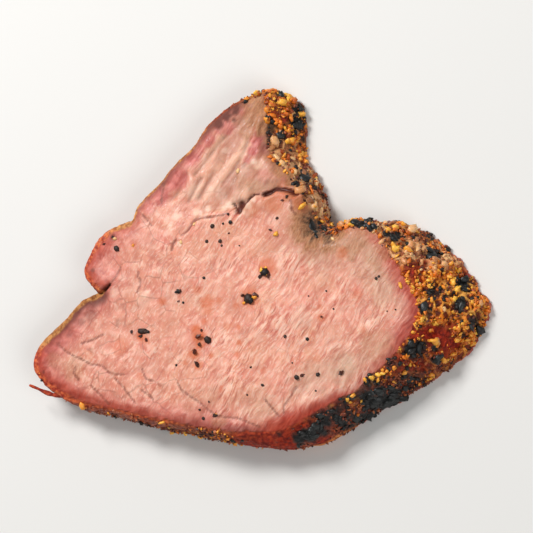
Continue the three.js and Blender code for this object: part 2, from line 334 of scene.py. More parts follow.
# How the rim changes with the direction from the middle, in degrees anticlockwise from the barked end. First
# in millimetres: how far the crust reaches over the face, and how wide the smoke ring and its red edge are
CRUST = {
    -167: 1.2, -152: 0.8, -143: 0.4, -118: 0.4, -110: 0.3, -98: 0.6, -86: 0.9, -76: 0.2, -68: 0.3, -47: 0,
    -31: 0.1, -15: 0.3, 13: 0.3, 24: 0.4, 34: 1.2, 45: 0.4, 60: 0, 78: 0, 85: 0.5, 95: 0.3, 140: 0.3,
    150: 0.5, 160: 0.8, 174: 0.5, 180: 0.4,
}
RING_WIDTH = {
    -170: 7, -165: 9, -150: 4.5, -118: 6, -108: 9, -99: 7, -91: 5, -80: 4.5, -68: 5, -50: 3, -25: 2.6,
    -13: 6.5, 5: 5, 24: 3, 34: 1, 53: 1, 70: 3, 84: 4, 145: 5, 160: 10, 174: 8, 180: 5,
}
RED_WIDTH = {
    -167: 2.5, -150: 3, -118: 2, -92: 1.5, -82: 2, -75: 4, -69: 4.5, -52: 2.4, -38: 1.8, -25: 2, -10: 3.5,
    5: 3.5,
}
# Then as shares: the rub, the smoke ring, its red edge, the dark dried edge, the lacquered wall, its ochre
# part, the char, the toasted garlic, the tan crust, and the greyer meat beside it that is cooked more
RUB = {
    -167: 0.002, -150: 0.08, -118: 0.4, -96: 0.5, -86: 0.1, -64: 0.06, -54: 0.5, -42: 0.9, -30: 1, 87: 1,
    91: 0.15, 95: 0.005, 170: 0.002, 180: 0.002,
}
RING = {
    -167: 1, -150: 0.7, -132: 0.55, -118: 0.65, -108: 0.8, -99: 0.9, -86: 0.8, -80: 0.6, -68: 1, -47: 0.7,
    -38: 0.15, -25: 0.3, -13: 1, 0: 0.9, 5: 0.8, 24: 0.6, 34: 0, 53: 0.2, 70: 0.8, 84: 0.6, 95: 0.5,
    145: 0.4, 154: 0.75, 160: 0.75, 180: 0.6,
}
RED_EDGE = {
    -167: 0.7, -150: 0.8, -118: 0.6, -97: 0.3, -88: 0.25, -82: 0.5, -76: 0.95, -47: 0.9, -38: 0.5, -5: 0.8,
    5: 0.5, 10: 0.6, 24: 0.3, 53: 0, 84: 0.2, 97: 0.4, 110: 0.3, 145: 0.3, 160: 0.7, 174: 0.6, 180: 0.2,
}
DUSK = {
    -172: 0.9, -168: 0.5, -166: 0, -125: 0, -115: 0.3, -86: 0.35, -79: 0, 60: 0, 75: 0.4, 84: 0.6, 93: 1,
    101: 0.9, 107: 0.5, 125: 0.7, 135: 0.4, 145: 0.1, 172: 0, 178: 1,
}
GLAZE = {-168: 1, -154: 1, -146: 0.5, -118: 0.4, -90: 0.25, -68: 0.1, 84: 0, 93: 0.3, 102: 1, 170: 1, 180: 1}
OCHRE = {-169: 1, -167: 0, 98: 0, 106: 0.9, 150: 1, 155: 0.1, 174: 0, 177: 1}
CHAR = {
    -118: 0.05, -90: 0.1, -68: 0.2, -58: 0.5, -47: 0.7, -38: 0.75, -28: 0.6, -20: 0.35, -10: 0.2, 5: 0.05,
    24: 0.05, 34: 0.35, 45: 0.2, 70: 0.2, 84: 0.35, 94: 0.3, 100: 0,
}
GOLD = {
    -150: 0.1, -118: 0.2, -92: 0.2, -84: 0.03, -60: 0.03, -30: 0.1, -20: 0.4, -11: 0.9, 5: 0.9, 17: 0.5,
    34: 0.4, 50: 0.2, 60: 0.2, 70: 0.3, 78: 0.5, 88: 0.6, 92: 0.1, 120: 0.03, 178: 0.03,
}
TAN = {-20: 0, 0: 0.15, 10: 0.7, 24: 1, 50: 1, 62: 0.8, 75: 0.3, 95: 0}
DONE = {-110: 0, -70: 0.6, -47: 0.9, -31: 1, -10: 0.8, 10: 0.7, 24: 0.8, 34: 0.9, 60: 0.3, 90: 0.1}
# Round patches, each as x, y, radius and strength. Juice and paprika that the knife has smeared on the face:
STAINS = [
    (-9.8, -6.6, 1.4, 1), (-9.2, -8.1, 1.9, 1), (-8, -4.9, 0.9, 0.7), (-7.2, -2.4, 1.3, 0.5),
    (-7.4, -0.6, 1.9, 0.7), (-4.6, -0.3, 0.9, 0.6), (-0.6, -1.4, 0.9, 0.6), (0, -9.6, 0.8, 0.8),
    (-0.3, -12.2, 0.8, 0.7), (0.1, -6.2, 0.7, 0.7), (-2.6, -6, 1.2, 0.5), (18.9, -4.3, 1.1, 0.6),
    (18.5, -2, 0.6, 0.5), (17.9, -13.4, 1, 0.5), (-8.9, -9.9, 1.5, 0.9), (-10.1, -12, 1.6, 0.9),
    (-6.3, -12.5, 0.7, 0.6), (-9.3, -14.4, 1.4, 0.9), (-12.3, -13.9, 0.7, 0.5), (-17.6, -0.1, 1, 0.7),
    (5.7, -15.9, 0.9, 0.4), (-3.9, -19.8, 0.9, 0.4), (-22.6, -8, 1.3, 0.8), (-21.3, -9, 0.7, 0.8),
    (-27.5, -10, 2.2, 0.4), (-22.7, -16.8, 1, 0.5), (-24.5, 12.3, 0.8, 0.7), (-15, 10.9, 1.2, 0.4),
    (-9.6, 2.2, 1.2, 0.4), (2.6, 0.2, 2.6, 0.8), (6.4, 6.6, 2.6, 0.6), (28.2, -7, 0.9, 0.5),
    (26.8, 0.6, 1.3, 0.4), (23.6, 9.8, 1.6, 0.5), (-34.5, -12.2, 1, 0.3), (10.4, 22.8, 1.8, 0.6),
    (12.4, 22.6, 1.2, 0.5), (8.6, 22.8, 1.2, 0.5), (8.4, 20.4, 2.2, 0.5), (6.6, 21.6, 1.4, 0.4),
    (3.4, 19.4, 1.8, 0.25), (14, 21, 2.2, 0.4), (9.4, 25, 1.4, 0.3),
]
# Redder muscle on the upper lobe:
ROSE = [
    (-15, 27.2, 3.4, 0.9), (-11.2, 31.4, 2.4, 1), (-9.4, 33.6, 1.6, 0.8), (-18.6, 23.6, 2.8, 0.9),
    (-21, 21, 2, 0.7), (-7.6, 35.6, 1.8, 0.9), (-5, 37.8, 1.4, 0.7), (-3.2, 38.4, 2.2, 0.8),
    (0.5, 42, 1.6, 0.7), (3.9, 37.6, 1.4, 0.8), (3.4, 35.2, 1.6, 1), (2.4, 32.9, 1.5, 1),
    (1.4, 31, 1.1, 0.8), (2.6, 27.4, 1.4, 0.4), (22.8, 14.3, 1.8, 0.5), (5.4, 27.2, 2, 0.55),
    (7.4, 27, 1.6, 0.5), (-8, -24.6, 2.4, 0.5),
]
# Dark, dried muscle at the edge, and painted shade beside the seam, its gape and a crease:
DRIED_AND_SHADED = [
    (-5.4, 39.3, 1.4, 1), (-3.5, 41, 1.5, 1), (-1.6, 42, 1.4, 1), (0.8, 43.4, 1.2, 0.6),
    (-1.9, 39.9, 0.7, 0.9), (4.2, 44, 1.8, 0.6), (4.3, 41.2, 1, 0.8), (-34.8, -3, 2, 0.45),
    (-36.6, -4.2, 1.2, 0.5), (-40, -6.6, 1.4, 0.35), (-42.2, -9, 0.8, 0.45), (-18, 26, 1, 0.9),
    (-23.4, 22.4, 0.9, 0.9), (-13.6, 30.8, 0.9, 0.5), (-29.4, 14.4, 0.9, 0.8), (-45.6, -15.4, 0.5, 0.8),
    (-34.3, 7.2, 0.6, 0.7), (4.2, 25.2, 1.5, 0.35), (6.2, 25, 1.6, 0.45), (8.2, 25.4, 1.6, 0.45),
    (10.4, 25.2, 1.2, 0.35), (2.7, 23.9, 1.3, 0.5), (4.6, 24, 1, 0.5), (0.5, 21.4, 1.5, 0.5),
    (12.6, 21, 0.7, 0.7), (12.4, 19.8, 0.7, 0.8),
]
# Pale fibres on the lips that the knife has raised, and painted highlights where these lips and a wet spot
# catch the light:
CREAM_AND_HIGHLIGHTS = [
    (2.2, 20.6, 0.9, 1), (1.3, 19.2, 0.6, 0.8), (3.4, 21.9, 0.7, 0.8), (-2.5, 21, 0.9, 0.8),
    (-3.6, 20.2, 0.8, 0.6), (-13.6, 12.6, 0.7, 0.9), (-14.6, 18.6, 0.9, 0.6), (-9.6, 19.4, 1, 0.6),
    (-7.2, 20.2, 0.8, 0.6), (-16.8, 14.8, 0.8, 0.5), (3, 30.4, 0.8, 0.7), (-3.8, 33.2, 1, 0.5),
    (-6.6, 24.4, 0.9, 0.5), (-38.6, -11.8, 0.8, 0.4), (-29, 2, 1.3, 0.7), (-4.4, 23.6, 1.4, 0.4),
    (-10.2, 24, 2.2, 0.5), (-22, 0.2, 2.4, 0.3), (-16, 0.6, 2.2, 0.2), (-10, 0.2, 2.2, 0.25),
    (14, -4.2, 2.6, 0.3), (-26.8, 5.2, 0.9, 0.4), (-18.2, 6.6, 0.9, 0.4),
]
# Rendered fat and dust at the notch, which stain the face brown:
BROWN = [
    (14.2, 20.8, 2.6, 0.6), (14.6, 24, 1.8, 0.5), (16.2, 11.6, 2.4, 0.3), (20.4, 12, 2.8, 0.6),
    (6.4, 35, 1.6, 0.6), (6, 31.6, 1.2, 0.4), (26, 12.2, 4.4, 0.5), (11.6, 22.6, 1.6, 0.5),
    (4.6, 42.6, 3.4, 0.8), (5.2, 38.4, 2.4, 0.7), (2.4, 41, 3, 0.6), (3.2, 44.4, 2.4, 0.8),
    (1, 38, 2.6, 0.4), (9.2, 28.8, 2.8, 0.65), (11.8, 26.2, 2.4, 0.65), (31, 9.4, 3.6, 0.35),
    (7.2, 31, 2, 0.5), (8, 25.8, 2, 0.35), (8.4, 20.6, 2.6, 0.25), (2.4, 25.6, 3.2, 0.25),
    (-38.5, -14.5, 3, 0.3), (-43, -13, 2, 0.2), (-8, -22.6, 4, 0.2), (-4.6, -27.2, 2, 0.35),
    (31.6, -10.6, 4.2, 0.25), (2.6, 19.6, 2.2, 0.2),
]
# On the bark: burnt patches, bare red crust, smooth pale crust, and the thickest clusters of garlic
BURNT = [
    (29, -22.8, 2.8, 1), (31.5, -21.8, 3, 1), (34.2, -21, 2.2, 1), (32.8, -23.6, 1.7, 1),
    (37.5, -18.3, 2.2, 0.7), (39.5, -17.2, 1.6, 0.6), (39, -12, 1.8, 1), (40.6, -10.8, 1.7, 1),
    (21.2, -26.4, 1.6, 1), (24.8, -26, 1.6, 0.9), (26.4, -26.6, 1.8, 1), (22.6, -27.4, 1.6, 1),
    (13, -31, 1.5, 1), (15.4, -30, 1.9, 1), (17.6, -28.6, 1.9, 1), (19.3, -27, 1.5, 1), (43.5, 1.3, 1.9, 1),
    (48.8, 3, 1.4, 1), (46, 0.2, 0.9, 0.9), (47.6, 0.7, 0.9, 1), (48.7, -1.1, 1.4, 1), (42.8, 9.8, 1.1, 1),
    (45.2, 11.6, 1.1, 1), (43.6, -11.2, 1, 1), (43.3, -13.8, 1.2, 1), (51.4, -5, 1.3, 0.9),
    (49.2, -8.3, 1.1, 0.8), (35, 13.5, 1.5, 1), (33.4, 13.8, 1.1, 1), (31.2, 12.4, 0.9, 0.9),
    (27.6, 15.7, 1.8, 1), (29.6, 15.6, 0.9, 1), (11, 39.6, 1.4, 1), (11.4, 42.4, 1.4, 1),
    (7.3, 38.6, 0.7, 0.8), (8.3, 37.5, 0.6, 0.7), (14.3, 36.5, 1.1, 1), (12.5, 35.8, 0.9, 0.9),
    (8, 45.6, 1, 0.9), (20.3, 16.4, 1, 1), (18.8, 15.3, 0.8, 0.9), (13.5, 27.2, 0.9, 0.9),
    (14.6, 25.2, 0.9, 0.8), (22.5, 17.6, 1.2, 0.9),
]
RUSTY = [
    (38.8, 5.6, 2.2, 1), (40.8, 6.6, 2, 0.9), (40.2, 3.8, 1.8, 0.9), (39.8, -8.2, 2.4, 1),
    (42.6, -8.6, 3, 1), (45.6, -9.4, 3, 1), (44.8, -12, 2.6, 0.9), (47, -7.2, 2.2, 0.9), (49, 5.8, 2, 0.9),
    (36, -14.5, 2.6, 0.8), (43.8, 8, 1.8, 0.7), (46, 6.6, 1.6, 0.6), (40, -15, 2.4, 0.7),
    (33.6, -16, 1.8, 0.6), (1, -31.5, 3.5, 1), (5.5, -31.8, 3.5, 1), (10, -31.2, 3.2, 1), (14, -29, 2.4, 1),
    (17, -31, 2.4, 1), (8.8, 40.6, 1.6, 0.8), (9.6, 35.8, 1.2, 0.7), (7.2, 41.4, 1.4, 0.8),
    (23.5, -23, 1.6, 0.7),
]
PEACHY = [
    (27.6, 13.8, 2, 0.8), (30, 13.2, 2, 1), (31.8, 11.7, 2, 1), (33.6, 10.2, 1.6, 0.9),
    (31.2, 15.4, 2.2, 0.9), (33.4, 15, 2, 0.8), (38.6, 10.2, 2.6, 0.9), (37, 8.2, 1.6, 0.7),
    (44.6, 8.4, 2.4, 0.8), (47.4, 9.2, 1.8, 0.8), (43, 6.6, 1.6, 0.6), (8, 32, 1.8, 0.7),
    (10.4, 30.4, 2, 0.8), (12, 28.2, 2, 0.8), (7.6, 34.6, 1.8, 0.6), (19.4, 21.8, 2, 1), (17, 20.6, 2, 0.9),
    (16.6, 24.6, 2, 0.6), (29, -17.6, 1.8, 0.3), (14.6, 25.8, 1.6, 0.7), (10.6, 33.8, 2.4, 0.6),
    (13.4, 27.6, 2.6, 0.9), (16, 21.6, 2.4, 1), (18.2, 19.6, 2.2, 1), (42.4, 10.4, 2.2, 0.8),
    (45.6, 6.6, 1.6, 0.7), (36, 12, 2.2, 0.7),
]
AMBER = [
    (43.4, -2, 2.8, 1), (46.2, -4, 2.8, 1), (42.4, -4.6, 1.8, 1), (46.9, 3.4, 1.8, 1), (45.4, 5.2, 1.6, 0.8),
    (51, -3.4, 2, 1), (50, -7.4, 1.8, 1), (51.6, 2, 2, 0.9), (48, 8.6, 1.4, 0.7), (9, 43.6, 1.8, 1),
    (12.4, 41, 2, 1), (13.4, 38.4, 1.8, 0.9), (13.8, 29.6, 1.8, 0.6), (29.4, -17.6, 1.8, 0.9),
    (31.8, -17, 1.8, 0.8), (33.6, -17.6, 1.4, 0.6), (24.6, -22.2, 1.6, 0.7), (26.6, -21, 1.4, 0.7),
    (20.6, -24, 1, 0.4), (48.6, -5.6, 2.2, 0.9), (46, -0.8, 2.2, 0.8), (44.2, 2.6, 1.8, 0.7),
    (50.4, 4.6, 2, 0.8), (41.6, 0.6, 1.6, 0.7),
]
FAT_SEAM, SOOT_REACH = (18.5, 16.0), 6.0  # where the seam of fat runs out, and how far its soot reaches
degrees = np.degrees(np.arctan2(y, x))


def around(profile):
    """A value for each vertex from its direction, out of a profile of the rim."""
    return np.interp(degrees, list(profile), list(profile.values()), period=360)


def paint(piece, name, values):
    """Keeps a value for each vertex, which a material reads by its name."""
    values = values.astype(np.float32)
    piece.data.attributes.new(name, "FLOAT", "POINT").data.foreach_set("value", values)


inside = np.maximum(0, rim - around(CRUST) - 0.3 * noise_at(spot, 1.3, 8))
bark = np.maximum(wall, 1 - smooth(inside / 0.4)) * (1 - on_rest)
wavy = noise_at(spot, 3, 12)
ragged = 0.6 * wavy + 0.5 * noise_at(spot, 1.1, 15)


def patches(spots, raggedness=0.6):
    """The strength of the nearest of some round patches with ragged edges, and 0 past them."""
    found = np.zeros(len(spot))
    for x0, y0, radius, strength in spots:
        away = np.hypot(spot[:, 0] - x0, spot[:, 1] - y0) / radius + raggedness * ragged
        found = np.maximum(found, strength * (1 - smooth((away - 0.5) / 0.7)))
    return found * (1 - on_rest)


scorched = smooth((around(CHAR) - 0.75 + 1.3 * noise_at(spot, 4.5, 10)) / 0.3) * smooth(around(CHAR) / 0.15)
charred = np.maximum(patches(BURNT), 0.8 * scorched)
rusty = patches(RUSTY) * (1 - charred)
peachy = patches(PEACHY) * (1 - charred)
amber = patches(AMBER)
# The lacy mark is the sugar's colour, laid along the ridges partly as a painted highlight
lacy = np.maximum(np.maximum(amber, around(GOLD) - 0.1), beside(ridge, 1.1))
ring_share = around(RING) * (1 - smooth((inside + 1.1 * wavy) / around(RING_WIDTH)))
red_edge = around(RED_EDGE) * (1 - smooth((inside + 0.5 * wavy) / around(RED_WIDTH) - 0.2))
# The dusk mark is the dark dried edge, and painted shade beside the seam
dusk = np.maximum(around(DUSK) * (1 - smooth((inside - 0.5 + 0.7 * wavy) / 1.9)), patches(DRIED_AND_SHADED))
done = around(DONE) * smooth((inside - 1.5) / 2) * (1 - smooth((inside - 5) / 8))
from_seam = spot[:, :2] - FAT_SEAM
seam_away = np.linalg.norm(from_seam, axis=1)
spread = np.column_stack([5.0 * from_seam / np.maximum(seam_away, 0.1)[:, None], 0.1 * seam_away])
sooty = 1.6 * np.exp(-((seam_away / SOOT_REACH) ** 3))
sooty *= 1 + 0.9 * noise_at(spread, 1, 14) * smooth((seam_away - 1) / 3)
upper = 1 - smooth((drop - 0.08) / 0.1)
marks = {
    # The golden mark is where painted shade darkens the crust between the garlic granules
    "bark": bark, "charred": charred, "shade_under_garlic": around(GOLD), "lacy": lacy, "web": web, "tan": around(TAN),
    "rusty": rusty, "peachy": peachy, "glaze": around(GLAZE) * (0.25 + 0.75 * upper),
    "ochre": around(OCHRE) * upper, "lip": smooth((drop - 0.72) / 0.1) * near_angle(x, y, -1.2, 0.45),
    "smoke_ring": ring_share, "rose": patches(ROSE), "red_edge": red_edge, "dusk": dusk, "done": done,
    # The cream mark is pale fibre, and in part a painted highlight
    "brown": np.maximum(sooty, patches(BROWN)) * (1 - on_rest), "cream_and_highlight": patches(CREAM_AND_HIGHLIGHTS),
    # These marks carry painted shade: in the gapes, along the creases and along the open seam
    "crack": smooth(1.6 * gaping - 0.15) * on_top, "crease": crease, "seam": broken * seam,
    # The valley mark is painted shade along the lobe's valleys
    "valley": broken * beside(valley, VALLEY_SHADE) * on_top, "stain": patches(STAINS, 0.25),
    # Painted shade in the thin folds between the bundles
    "lobe": in_lobe, "to_right": to_right, "fold_shade": 1 - bundles,
}
for name, values in marks.items():
    paint(meat, name, values)


def hex_colour(code):
    """The linear colour of an sRGB hex code."""
    channels = [int(code[i : i + 2], 16) / 255 for i in (1, 3, 5)]
    return [c / 12.92 if c <= 0.04045 else ((c + 0.055) / 1.055) ** 2.4 for c in channels] + [1.0]


def blank(name, settings):
    """A new material, with its nodes and its shader, which has the given settings."""
    material = bpy.data.materials.new(name)
    material.use_nodes = True
    shader = material.node_tree.nodes["Principled BSDF"]
    for socket, value in settings.items():
        shader.inputs[socket].default_value = value
    return material, material.node_tree, shader


def node(tree, kind, inputs=None, **settings):
    """Adds a node to a material. Each of inputs is a value, or another node's output to link."""
    made = tree.nodes.new("ShaderNode" + kind)
    for name, value in settings.items():
        setattr(made, name, value)
    for name, value in (inputs or {}).items():
        if isinstance(value, bpy.types.NodeSocket):
            tree.links.new(value, made.inputs[name])
        else:
            made.inputs[name].default_value = value
    return made


def share(tree, source, low=0, high=1, least=0, most=1, of=1.0):
    """How much of a layer shows: least where the source is low, most where it is high, of another share."""
    given = {"Value": source, "From Min": low, "From Max": high, "To Min": least, "To Max": most}
    given = {0: node(tree, "MapRange", given).outputs[0], 1: of}
    return node(tree, "Math", given, operation="MULTIPLY").outputs[0]


MIX_A, MIX_B, MIXED = 6, 7, 2  # the colour sockets of a Mix node


def coats(tree, under, *layers):
    """Lays colours over one another. Each layer is a hex code, or coats of its own, and then its share."""
    for over, *shown in layers:
        lower, upper = (hex_colour(c) if isinstance(c, str) else c for c in (under, over))
        given = {0: share(tree, *shown), MIX_A: lower, MIX_B: upper}
        under = node(tree, "Mix", given, data_type="RGBA").outputs[MIXED]
    return under


def smoked_beef():
    """Medium rare smoked beef, cut with a sharp knife: moist, finely fibred muscle that goes from pink to a
    red smoke ring, and at the rim a dull, baked crust. The juice gives the face its small soft glints."""
    soft = {"Subsurface Weight": 0.25, "Subsurface Radius": (1.0, 0.35, 0.2), "Subsurface Scale": 1.2 * MM}
    material, tree, shader = blank("smoked_beef", {**soft, "IOR": 1.4})
    where = node(tree, "TexCoord").outputs["Object"]
    warp = node(tree, "TexNoise", {"Vector": where, "Scale": 1 / (8 * MM), "Detail": 2}).outputs["Color"]
    given = {0: warp, 1: (3 * MM,) * 3, 2: where}
    bent = node(tree, "VectorMath", given, operation="MULTIPLY_ADD").outputs[0]
    marked = {name: node(tree, "Attribute", attribute_name=name).outputs["Fac"] for name in marks}

    def fibres(length, width, detail=2):
        """Noise drawn out along the grain, with its length and width in millimetres."""
        size = (length * MM, width * MM, length * MM)
        fitted = {"Vector": bent, "Rotation": (0, 0, GRAIN_ANGLE), "Scale": size}
        along = node(tree, "Mapping", fitted, vector_type="TEXTURE").outputs[0]
        return node(tree, "TexNoise", {"Vector": along, "Scale": 1, "Detail": detail}).outputs[0]

    bands, fine = fibres(12, 3.5), fibres(1.0, 0.4)
    given = {0: 0.5, 2: fibres(4.2, 1.1), 3: fibres(2.3, 0.5)}
    drawn_out = node(tree, "Mix", given, data_type="FLOAT").outputs[0]
    curls = {"Vector": bent, "Scale": 1 / (2.2 * MM), "Detail": 3, "Distortion": 0.5}
    given = {0: share(tree, marked["to_right"], 0, 1, 0.3, 1), 2: node(tree, "TexNoise", curls).outputs[0]}
    streaks = node(tree, "Mix", {**given, 3: drawn_out}, data_type="FLOAT").outputs[0]
    blotches, clouds, grit = (
        node(tree, "TexNoise", {"Vector": at, "Scale": 1 / (size * MM), "Detail": detail}).outputs[0]
        for at, size, detail in ((where, 9, 3), (bent, 4.5, 2), (where, 0.9, 3))
    )

    # Each layer has its colour, the source that it follows, with its low and high, the least and most of the
    # layer, and the share that it is a part of
    fibrous = share(tree, marked["to_right"], 0, 1, 0.7, 1)
    fibrous = share(tree, fibres(9, 5), 0.4, 0.6, 0.35, 1, fibrous)
    pink = coats(
        tree, "#dd937b", ("#eca890", bands, 0.38, 0.62), ("#e58b79", clouds, 0.52, 0.66, 0, 0.6),
        ("#e4a483", blotches, 0.45, 0.65, 0, 0.6), ("#d48773", marked["to_right"], 0, 1, 0.45, 0),
        ("#fccfb8", streaks, 0.5, 0.59, 0, 0.8, fibrous), ("#c96c5a", streaks, 0.48, 0.39, 0, 0.85, fibrous),
        ("#f8d3be", fine, 0.52, 0.68, 0, 0.5), ("#b4604c", fibres(3.2, 0.5, 1), 0.6, 0.69, 0, 0.8, fibrous),
    )
    pale = coats(tree, "#bb8a72", ("#dab096", streaks, 0.4, 0.6))
    torn = coats(tree, "#b87a62", ("#e1ac8d", fibres(15, 2.6, 1), 0.42, 0.58))
    torn = coats(tree, torn, ("#f4cdb4", streaks, 0.38, 0.62, 0, 0.35))
    ring = coats(tree, "#a4433d", ("#d4776d", streaks, 0.38, 0.6))
    rose = coats(tree, "#ae4b47", ("#d97c75", streaks, 0.4, 0.6))
    red = coats(tree, "#9c2a12", ("#c1482c", streaks, 0.38, 0.62))
    fat = coats(tree, "#9c6644", ("#c18862", fine, 0.3, 0.7))
    soot = coats(tree, "#4c3325", ("#8c6446", fine, 0.4, 0.6))
    # Thin dark lines of painted shade in fine fissures, over patches of the face
    given = {"Vector": bent, "Scale": 1 / (5 * MM)}
    lines = node(tree, "TexVoronoi", given, feature="DISTANCE_TO_EDGE").outputs["Distance"]
    fissure_shade = share(tree, lines, 0.04, 0.01, 0, 1, share(tree, clouds, 0.44, 0.54))
    # Painted shade along the creases, its edge broken by fine noise
    given = {0: marked["crease"], 1: share(tree, fine, 0.3, 0.7, -0.1, 0.15)}
    crease_shade = node(tree, "Math", given, operation="ADD").outputs[0]
    muscle = coats(
        tree, pink, (pale, blotches, 0.35, 0.55, 0, 1, marked["done"]),
        # Pale fibres, and in part painted highlights on the raised lips and a wet spot
        (torn, marked["lobe"], 0, 1, 0, 0.85), ("#fbdcc4", marked["cream_and_highlight"], 0, 1, 0, 0.8),
        # Painted shade in the lobe's valleys and in the folds between the bundles
        ("#97634e", marked["valley"], 0, 1, 0, 0.8), ("#b56a57", marked["fold_shade"], 0.3, 1, 0, 0.3),
        # Painted shade in the fine fissures
        ("#8f5947", marked["to_right"], 0, 1, 0.4, 0.15, fissure_shade), (ring, marked["smoke_ring"]),
        (rose, marked["rose"], 0, 1, 0, 0.85), (red, marked["red_edge"], 0, 1, 0, 0.95),
        # The dusk layer is dried muscle at the edge, and painted shade beside the seam
        ("#55302a", marked["dusk"], 0, 1, 0, 0.85), (fat, marked["brown"], 0, 0.7),
        (soot, marked["brown"], 0.95, 1.6), ("#cf5f24", marked["stain"], 0, 1, 0, 0.8),
        # Painted shade in the creases and along the open seam
        ("#80493a", crease_shade, 0.45, 0.08, 0, 0.75), ("#8a4432", marked["seam"], 0.2, 0.85, 0, 0.9),
        # Painted shade inside the gapes, the pit and the cleft
        ("#582113", marked["crack"]),
    )

    given = {0: marked["web"], 1: share(tree, grit, 0.3, 0.7, -0.1, 0.1)}
    lace = share(tree, node(tree, "Math", given, operation="ADD").outputs[0], 0.1, 0.26)
    tan = coats(tree, "#7c5233", ("#d6a276", grit, 0.38, 0.62))
    sugar = coats(tree, "#ff8c14", ("#ffb452", clouds, 0.4, 0.6), ("#70270b", lace))
    bare = coats(tree, "#6c0d01", ("#ae2c0b", grit, 0.35, 0.65))
    peach = coats(tree, "#e9b27f", (coats(tree, "#96592f", ("#cc905b", grit, 0.35, 0.65)), lace))
    ochre = coats(tree, "#a3632f", ("#de9a58", grit, 0.4, 0.6))
    lacquer = coats(tree, "#9c2f1c", ("#d96a3c", grit, 0.4, 0.6), (ochre, marked["ochre"]))
    char = coats(tree, "#0f0d0c", ("#272423", grit, 0.4, 0.7))
    crust = coats(
        tree, "#581c0d", ("#b24c24", grit, 0.35, 0.65),
        # Painted shade: the crust is darkened between and under the garlic granules
        ("#2a1710", blotches, 0.65, 0.4, 0, 1, marked["shade_under_garlic"]),
        (tan, blotches, 0.3, 0.5, 0, 0.7, marked["tan"]), (sugar, marked["lacy"]), (bare, marked["rusty"]),
        (peach, marked["peachy"]), ("#dd8641", marked["lip"]), (lacquer, marked["glaze"]),
        ("#5c3a29", marked["dusk"], 0, 1, 0, 0.35), (char, marked["charred"]),
    )
    tree.links.new(coats(tree, muscle, (crust, marked["bark"])), shader.inputs["Base Color"])

    damp, baked = share(tree, fine, 0.34, 0.46, 0.28, 0.5), share(tree, marked["rusty"], 0, 1, 0.55, 0.8)
    dull = node(tree, "Mix", {0: marked["bark"], 2: damp, 3: baked}, data_type="FLOAT").outputs[0]
    dull = node(tree, "Mix", {0: marked["dusk"], 2: dull, 3: 0.9}, data_type="FLOAT").outputs[0]
    tree.links.new(dull, shader.inputs["Roughness"])

    crumbs = node(tree, "TexVoronoi", {"Vector": where, "Scale": 1 / (1.1 * MM)}, feature="F1")
    gritty = share(tree, marked["bark"], of=crumbs.outputs["Distance"])
    holes = node(tree, "Math", {0: lace, 1: marked["lacy"]}, operation="MULTIPLY").outputs[0]
    holes = share(tree, marked["bark"], of=holes)
    reliefs = (streaks, 0.35, 0.4), (fine, 0.5, 0.15), (gritty, 0.6, -0.5), (holes, 0.8, -0.4)
    raised = {}
    for relief, strength, depth in reliefs:
        given = {"Height": relief, "Strength": strength, "Distance": depth * MM, **raised}
        raised = {"Normal": node(tree, "Bump", given).outputs[0]}
    tree.links.new(raised["Normal"], shader.inputs["Normal"])
    return material


beef = smoked_beef()
meat.data.materials.clear()
meat.data.materials.append(beef)
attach(meat, "root")
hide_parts("tri_tip_slice")

# The torn strand
# One fibre of the outside that the knife has left hanging at the left tip: a thin, red, dried thread of
# meat, which grows out of the slice's wall.
STRAND = [
    (-41.8, -20.4, 6.2), (-43.4, -20.5, 6.9), (-45.4, -19.9, 7.2), (-47.4, -19, 7.1), (-49.4, -18.2, 6.8),
]
STRAND_RADIUS = 0.55
strand_line = smooth_line(STRAND, False, 0.5)
thread = bpy.data.curves.new("torn_strand", "CURVE")
thread.dimensions, thread.bevel_depth, thread.bevel_resolution = "3D", STRAND_RADIUS * MM, 3
thread.use_fill_caps = True
spline = thread.splines.new("POLY")
spline.points.add(len(strand_line) - 1)
for i, (point, at) in enumerate(zip(spline.points, strand_line)):
    point.co = (*(at * MM), 1)
    point.radius = (1.1 - 0.7 * i / len(strand_line)) * (1 + 0.5 * noise.noise(at * 0.9))
drawn = placed("drawn_strand", thread)
strand_mesh = bpy.data.meshes.new_from_object(drawn.evaluated_get(bpy.context.evaluated_depsgraph_get()))
bpy.data.objects.remove(drawn)
strand = placed("torn_strand", strand_mesh)
strand_mesh.polygons.foreach_set("use_smooth", np.ones(len(strand_mesh.polygons), bool))
for name, level in (("bark", 1), ("rusty", 0.8), ("glaze", 0.3)):
    paint(strand, name, np.full(len(strand_mesh.vertices), level))
strand_mesh.materials.clear()
strand_mesh.materials.append(beef)
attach(strand, "root")

# The crumbs of the rub
# Coarse crumbs of sugar, salt and paprika, pressed on before smoking and baked into the crust. A few lie on
# the face, where the knife has dragged them. Each kind of grain is one mesh of many.
SPICE_ON_FACE = [
    (-9.3, -8.2, 0.8), (-8.9, -9.8, 0.5), (-10, -11.6, 0.75), (-9.4, -14.4, 0.75), (-8.5, -6.8, 0.4),
    (3.9, 0.9, 0.7), (7, 5.3, 0.7), (5, 5, 0.5), (-22.6, -7.9, 0.5), (-21.4, -8.6, 0.4), (18.9, -4.2, 0.4),
    (14.5, -17, 0.5), (23.4, -16.5, 0.6), (-13.8, -0.2, 0.3), (1, 0.8, 0.5), (-24.8, -6.9, 0.4),
    (-31.6, 12.9, 0.4), (-5.2, -25.6, 0.5), (11.1, 22.4, 0.45), (10.2, 21.6, 0.35), (12.9, 24.5, 0.5),
    (7.4, 15.1, 0.4),
]  # x, y and radius
face_middle = read(meat.data.polygons, "center", 3) / MM
face_normal = read(meat.data.polygons, "normal", 3)
face_area = read(meat.data.polygons, "area", 1)[:, 0] / MM**2
first_vertex = np.array([poly.vertices[0] for poly in meat.data.polygons])


